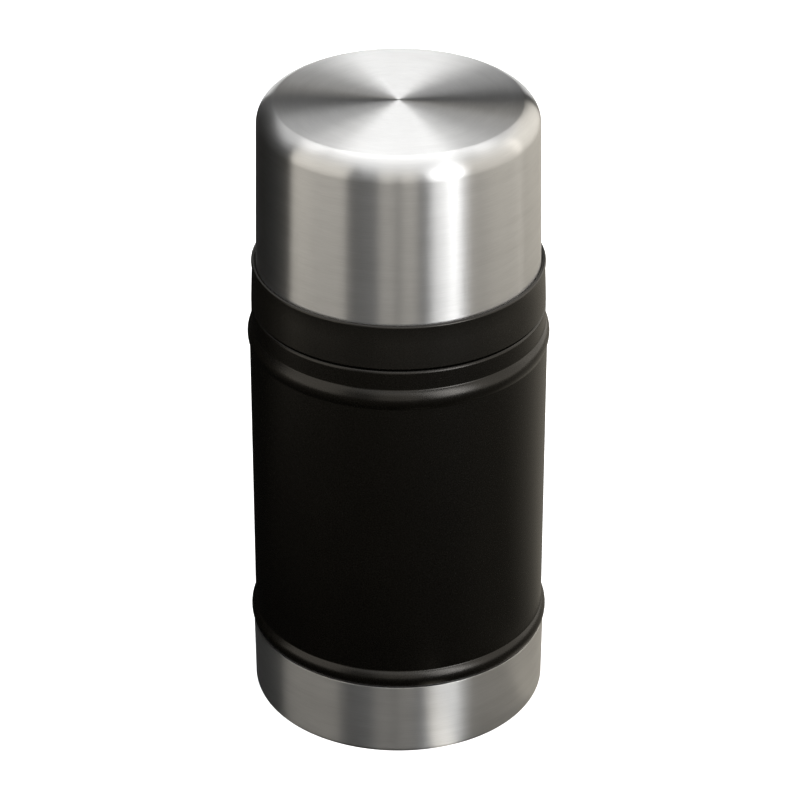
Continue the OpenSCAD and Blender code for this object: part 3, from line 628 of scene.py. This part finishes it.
grip = {"outer": 38.4, "top": 172.95, "low": 162.75, "edge": 0.8, "well": 8.3,
        "wellLow": 157.5, "wellRow": 165, "wellWall": 10.3, "ceiling": 170.95, "inside": 36,
        "ledge": 164.25, "spigotInside": 33, "spigotLow": 159.75, "spigot": 34.6,
        "topRows": (34, 10.5), "topEdge": 0.35, "topEdgeFrom": 172.9, "flutes": 32,
        "fluteFrom": 164.25, "fluteLead": 0.5, "fluteStart": 0.2, "fluteRadius": 1.1,
        "fluteBite": 0.5, "fluteReach": 1.2}
bm = drawOutline([
    (grip["well"], grip["wellLow"]), (grip["wellWall"], grip["wellLow"]),
    (grip["wellWall"], grip["ceiling"]), (grip["inside"], grip["ceiling"]),
    (grip["inside"], grip["ledge"]), (grip["spigotInside"], grip["ledge"]),
    (grip["spigotInside"], grip["spigotLow"]), (grip["spigot"], grip["spigotLow"]),
    (grip["spigot"], grip["low"]), (grip["outer"], grip["low"]),
    (grip["outer"], grip["fluteFrom"]),
    (grip["outer"], grip["fluteFrom"] + grip["fluteLead"]),
    (grip["outer"], grip["top"] - grip["edge"]), (grip["outer"] - grip["edge"], grip["top"]),
    *[(radius, grip["top"]) for radius in grip["topRows"]], (grip["well"], grip["top"]),
    (grip["well"], grip["wellRow"]), (grip["well"], grip["wellLow"])])
spinRound(bm, around=384)
roundEdges(bm, grip["topEdge"], degrees=40, segments=4, low=grip["topEdgeFrom"])
fluteTurn = math.radians(360 / grip["flutes"])
fluteLow = (grip["fluteFrom"] + grip["fluteStart"]) * mm
for vert in bm.verts:
    radius = math.hypot(vert.co.x, vert.co.y) / mm
    if radius < grip["outer"] - grip["fluteReach"] or vert.co.z < fluteLow:
        continue
    angle = math.atan2(vert.co.y, vert.co.x) % fluteTurn
    side = min(angle, fluteTurn - angle) * grip["outer"]
    if side < grip["fluteRadius"]:
        depth = (math.sqrt(grip["fluteRadius"] ** 2 - side ** 2)
                 - grip["fluteRadius"] + grip["fluteBite"])
        if depth > 0:
            share = min(radius, (grip["outer"] - depth)) / radius
            vert.co.x *= share
            vert.co.y *= share
makePiece("stopperGrip", bm, "stopper", gripLook, ["stopper_cap"])

# Vent button: a disc with a hollowed top, on a stem that snaps into the vent's keeper
button = {"foot": 2.25, "low": 126.1, "catch": 2.3, "catchTop": 127.0, "stem": 2.2,
          "stemTop": 159.4, "hub": 4.1, "discLow": 170.15, "disc": 8, "discTop": 173.15,
          "round": 7, "top": 174.15, "rimInside": 5.4, "hollow": (4.6, 173.75),
          "middle": 173.6, "edge": 0.2, "edgesFrom": 170}
bm = drawOutline([
    (0, button["low"]), (button["foot"], button["low"]),
    (button["catch"], button["catchTop"]), (button["stem"], button["catchTop"]),
    (button["stem"], button["stemTop"]), (button["hub"], button["stemTop"]),
    (button["hub"], button["discLow"]), (button["disc"], button["discLow"]),
    (button["disc"], button["discTop"]), (button["round"], button["discTop"], 90, 6),
    (button["rimInside"], button["top"]), button["hollow"], (0, button["middle"])])
spinRound(bm, around=96)
roundEdges(bm, button["edge"], degrees=30, segments=3, low=button["edgesFrom"])
makePiece("ventButton", bm, "vent", buttonLook, ["vent_button"])

# Seals: inside and outside radius, lowest and highest point, body and node
seals = {
    "stopperSeal": (36.75, 39.9, 158.05, 159.65, "stopper_ring", "stopper_seal"),
    "lidGasket": (40.8, 42.95, 157.55, 159.05, "lid_gasket", "cup_gasket"),
    "ventSeal": (2.25, 6.5, 129.45, 130.95, "vent", "vent_seal")}
sealEdge = 0.35
for name, (inside, outside, low, high, body, node) in seals.items():
    bm = drawOutline([(inside, low), (outside, low), (outside, high), (inside, high),
                      (inside, low)])
    spinRound(bm, around=160)
    roundEdges(bm, sealEdge, degrees=40, segments=4)
    makePiece(name, bm, body, sealLook, [node])
print("stopper made")

# Pieces inside the walls keep their CAD shape and get their own finish
innerLooks = {"radiation_foil": foilLook, "getter_pill": getterLook,
              "getter_clip": bareSteelLook, "closing_pan": bareSteelLook,
              "vacuum_plug": brazeLook, "stopper_core": foamLook, "cup_core": foamLook,
              "vent_spring": springWireLook, "vent_keeper": stopperLook}
for node, look in innerLooks.items():
    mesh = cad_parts[node].data
    mesh.materials.clear()
    mesh.materials.append(look)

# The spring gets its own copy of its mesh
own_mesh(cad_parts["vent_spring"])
print("inner pieces dressed:", len(innerLooks))

# Studio: pale floor, white background, soft boxes and dark cards that only gloss sees.
# Every lamp faces the point on the axis at lookHeight
studio = {"floorSize": 40.0, "floorColour": (0.82, 0.82, 0.82), "floorGlow": 0.72,
          "worldLight": 0.35, "matt": 0.9, "lookHeight": 0.2}


def seenRays(tree):
    path = tree.nodes.new("ShaderNodeLightPath")
    seen = mathNode(tree, "MAXIMUM", path.outputs["Is Camera Ray"],
                    path.outputs["Is Glossy Ray"])
    return mathNode(tree, "MAXIMUM", seen, path.outputs["Is Transmission Ray"])


bm = bmesh.new()
bmesh.ops.create_grid(bm, x_segments=2, y_segments=2, size=studio["floorSize"] / 2)
floorMesh = bpy.data.meshes.new("floor")
bm.to_mesh(floorMesh)
bm.free()
floor = bpy.data.objects.new("floor", floorMesh)
scene.collection.objects.link(floor)
floorLook, tree, shader = startMaterial("paleFloor")
shader.inputs["Base Color"].default_value = (*studio["floorColour"], 1)
shader.inputs["Roughness"].default_value = studio["matt"]
shader.inputs["Specular IOR Level"].default_value = 0.0
shader.inputs["Emission Color"].default_value = (1, 1, 1, 1)
tree.links.new(mathNode(tree, "MULTIPLY", seenRays(tree), studio["floorGlow"]),
               shader.inputs["Emission Strength"])
floorMesh.materials.append(floorLook)

world = bpy.data.worlds.new("studioWorld")
scene.world = world
world.use_nodes = True
tree = world.node_tree
background = tree.nodes["Background"]
background.inputs["Color"].default_value = (1, 1, 1, 1)
tree.links.new(rangeNode(tree, seenRays(tree), 0.0, 1.0, studio["worldLight"], 1.0),
               background.inputs["Strength"])


# Azimuth runs from the camera's side, 0, to the right, 90; a lamp faces the jar
def placeAround(azimuth, distance, height):
    turn = math.radians(azimuth)
    place = Matrix.Translation((distance * math.sin(turn), -distance * math.cos(turn), height))
    drop = math.atan2(height - studio["lookHeight"], distance)
    return place @ Matrix.Rotation(turn, 4, "Z") @ Matrix.Rotation(math.pi / 2 - drop, 4, "X")


# Azimuth, distance and height say where a soft box is; size is its width and height
def addSoftBox(name, azimuth, distance, height, size, watts, roll=0, colour=(1, 1, 1)):
    light = bpy.data.lights.new(name, "AREA")
    light.shape = "RECTANGLE"
    light.size, light.size_y = size
    light.energy = watts
    light.color = colour
    lamp = bpy.data.objects.new(name, light)
    scene.collection.objects.link(lamp)
    lamp.matrix_world = (placeAround(azimuth, distance, height)
                         @ Matrix.Rotation(math.radians(roll), 4, "Z"))
    lamp.visible_camera = False


warmWhite = (1.0, 0.95, 0.865)
addSoftBox("overheadBox", 0, 0.01, 1.02, (1.0, 0.85), 1.5)
addSoftBox("backTopBox", 180, 0.62, 1.04, (0.36, 0.28), 1.45)
addSoftBox("leftTopBox", -138, 0.68, 0.89, (1.1, 0.5), 1.75)
addSoftBox("rightTopBox", 134, 0.70, 0.94, (1.1, 0.46), 1.5)
addSoftBox("leftBackBox", -165, 0.90, 0.46, (0.55, 0.50), 0.08)
addSoftBox("leftBox", -63.5, 0.52, 0.30, (0.50, 0.62), 1.1, colour=warmWhite)
addSoftBox("frontLeftBox", -7.85, 0.55, 0.27, (0.132, 0.57), 0.19, colour=warmWhite)
addSoftBox("frontRightBox", 8, 0.55, 0.27, (0.135, 0.57), 0.215, colour=warmWhite)
addSoftBox("frontTopBox", -4, 0.85, 0.90, (0.95, 0.85), 1.5)
addSoftBox("gapBox", -27, 0.60, 0.30, (0.30, 0.62), 0.10)
addSoftBox("keyBox", 33.5, 0.95, 0.36, (0.38, 0.75), 3.45, roll=12)
addSoftBox("keyCoreBox", 43.5, 0.94, 0.37, (0.24, 0.64), 2.1, roll=12)
addSoftBox("rightBox", 78.5, 0.52, 0.30, (0.56, 0.62), 1.12, colour=warmWhite)
addSoftBox("rightBackBox", 128, 0.75, 0.34, (0.72, 0.70), 2.0, colour=warmWhite)
addSoftBox("backMidBox", 180, 0.90, 0.75, (0.9, 0.35), 0.05)
addSoftBox("backLowBox", 180, 0.90, 0.16, (0.67, 0.31), 1.05)

# A dark mat and a dark tent that only reflections see. The tent stays open low at the
# back. The mat is paler towards the back right, to the right, far out, in front away
# from the jar, and at the sides farther out still; close round the jar's foot it is
# palest below the key light and at the right. Turns are in degrees, lengths in metres
tent = {"radius": 1.6, "skirt": 0.4, "height": 1.9, "opening": 24, "tone": 0.02}
mat = {"size": 3.2, "tone": 0.004, "above": 0.6 * mm, "colour": (1.0, 0.92, 0.77, 1),
       "glow": 0.36, "glowFrom": 70, "glowTo": 128,
       "rightGlow": 0.07, "rightFrom": 30, "rightTo": 60,
       "farGlow": 0.01, "farFrom": 0.25, "farTo": 0.45,
       "frontGlow": 0.052, "frontFrom": 0.1, "frontTo": 0.3, "frontSide": 95, "frontEnd": 115,
       "edgeGlow": 0.25, "edgeFrom": 0.24, "edgeTo": 0.36, "edgeTurn": 60, "edgeFull": 80,
       "edgeEnd": -98, "edgeStop": -86,
       "footIn": 0.07, "footOut": 0.095, "keyGlow": 0.5, "keyTurn": 19, "keyCore": 2.5,
       "keyReach": 7, "sideGlow": 0.3, "sideFrom": 62, "sideTo": 72}


def addCard(name, bm, look):
    mesh = bpy.data.meshes.new(name)
    bm.to_mesh(mesh)
    bm.free()
    mesh.materials.append(look)
    card = bpy.data.objects.new(name, mesh)
    scene.collection.objects.link(card)
    card.visible_camera = False
    card.visible_diffuse = False
    card.visible_shadow = False
    card.visible_transmission = False
    card.visible_volume_scatter = False


def darkCard(name, tone):
    look, tree, shader = startMaterial(name)
    shader.inputs["Base Color"].default_value = (tone, tone, tone, 1)
    shader.inputs["Roughness"].default_value = studio["matt"]
    shader.inputs["Specular IOR Level"].default_value = 0.0
    return look, tree, shader


tentLook = darkCard("tentCloth", tent["tone"])[0]
matLook, tree, shader = darkCard("tableMat", mat["tone"])
coords = tree.nodes.new("ShaderNodeTexCoord")
split = tree.nodes.new("ShaderNodeSeparateXYZ")
tree.links.new(coords.outputs["Object"], split.inputs[0])
x, y = split.outputs["X"], split.outputs["Y"]
azimuth = mathNode(tree, "DEGREES",
                   mathNode(tree, "ARCTAN2", x, mathNode(tree, "MULTIPLY", y, -1.0)))
reach = distanceFromAxis(tree, x, y)
backGlow = rangeNode(tree, azimuth, mat["glowFrom"], mat["glowTo"], 0.0, mat["glow"])
farGlow = rangeNode(tree, reach, mat["farFrom"], mat["farTo"], 0.0, mat["farGlow"])
offKey = mathNode(tree, "ABSOLUTE", mathNode(tree, "SUBTRACT", azimuth, mat["keyTurn"]))
keyGlow = rangeNode(tree, offKey, mat["keyReach"], mat["keyCore"], 0.0, mat["keyGlow"])
sideGlow = rangeNode(tree, azimuth, mat["sideFrom"], mat["sideTo"], 0.0, mat["sideGlow"])
nearFoot = rangeNode(tree, reach, mat["footOut"], mat["footIn"], 0.0, 1.0)
footGlow = mathNode(tree, "MULTIPLY", nearFoot, mathNode(tree, "MAXIMUM", keyGlow, sideGlow))
rightGlow = rangeNode(tree, azimuth, mat["rightFrom"], mat["rightTo"], 0.0, mat["rightGlow"])
offFront = mathNode(tree, "ABSOLUTE", azimuth)
inFront = rangeNode(tree, offFront, mat["frontEnd"], mat["frontSide"], 0.0, 1.0)
frontGlow = mathNode(tree, "MULTIPLY", inFront, rangeNode(
    tree, reach, mat["frontFrom"], mat["frontTo"], 0.0, mat["frontGlow"]))
beforeEdge = rangeNode(tree, azimuth, mat["edgeEnd"], mat["edgeStop"], 0.0, 1.0)
atSides = mathNode(tree, "MULTIPLY", beforeEdge, rangeNode(
    tree, offFront, mat["edgeTurn"], mat["edgeFull"], 0.0, 1.0))
edgeGlow = mathNode(tree, "MULTIPLY", atSides, rangeNode(
    tree, reach, mat["edgeFrom"], mat["edgeTo"], 0.0, mat["edgeGlow"]))
glow = backGlow
for other in (farGlow, footGlow, rightGlow, frontGlow, edgeGlow):
    glow = mathNode(tree, "MAXIMUM", glow, other)
tree.links.new(glow, shader.inputs["Emission Strength"])
shader.inputs["Emission Color"].default_value = mat["colour"]

bm = bmesh.new()
bmesh.ops.create_grid(bm, x_segments=1, y_segments=1, size=mat["size"] / 2)
bmesh.ops.translate(bm, vec=(0, 0, mat["above"]), verts=bm.verts[:])
addCard("tableMat", bm, matLook)
for name, low, high, degrees in (("tentSkirt", 0, tent["skirt"], 360 - tent["opening"]),
                                 ("tentWall", tent["skirt"], tent["height"], 360)):
    bm = bmesh.new()
    foot = bmesh.ops.create_vert(bm, co=(0, -tent["radius"], low))["vert"][0]
    tip = bmesh.ops.extrude_vert_indiv(bm, verts=[foot])["verts"][0]
    tip.co.z = high
    halfBack = Matrix.Rotation(math.radians(-degrees / 2), 4, "Z")
    bmesh.ops.transform(bm, matrix=halfBack, verts=bm.verts[:])
    bmesh.ops.spin(bm, geom=bm.verts[:] + bm.edges[:], cent=(0, 0, 0), axis=(0, 0, 1),
                   angle=math.radians(degrees), steps=64, use_merge=degrees == 360)
    addCard(name, bm, tentLook)
print("studio set")

# Camera solved from the rims and beads in the photograph; turn is 90 for a level view
view = {"sensor": 36.0, "lens": 156.38, "shift": 0.00184, "clipStart": 0.05,
        "place": (0, -0.97095, 0.66723), "turn": 59.94}
camera = bpy.data.objects.new("camera", bpy.data.cameras.new("camera"))
scene.collection.objects.link(camera)
camera.data.sensor_width = view["sensor"]
camera.data.lens = view["lens"]
camera.data.shift_x = view["shift"]
camera.data.clip_start = view["clipStart"]
camera.location = view["place"]
camera.rotation_euler = (math.radians(view["turn"]), 0, 0)
scene.camera = camera
scene.view_settings.view_transform = "Standard"
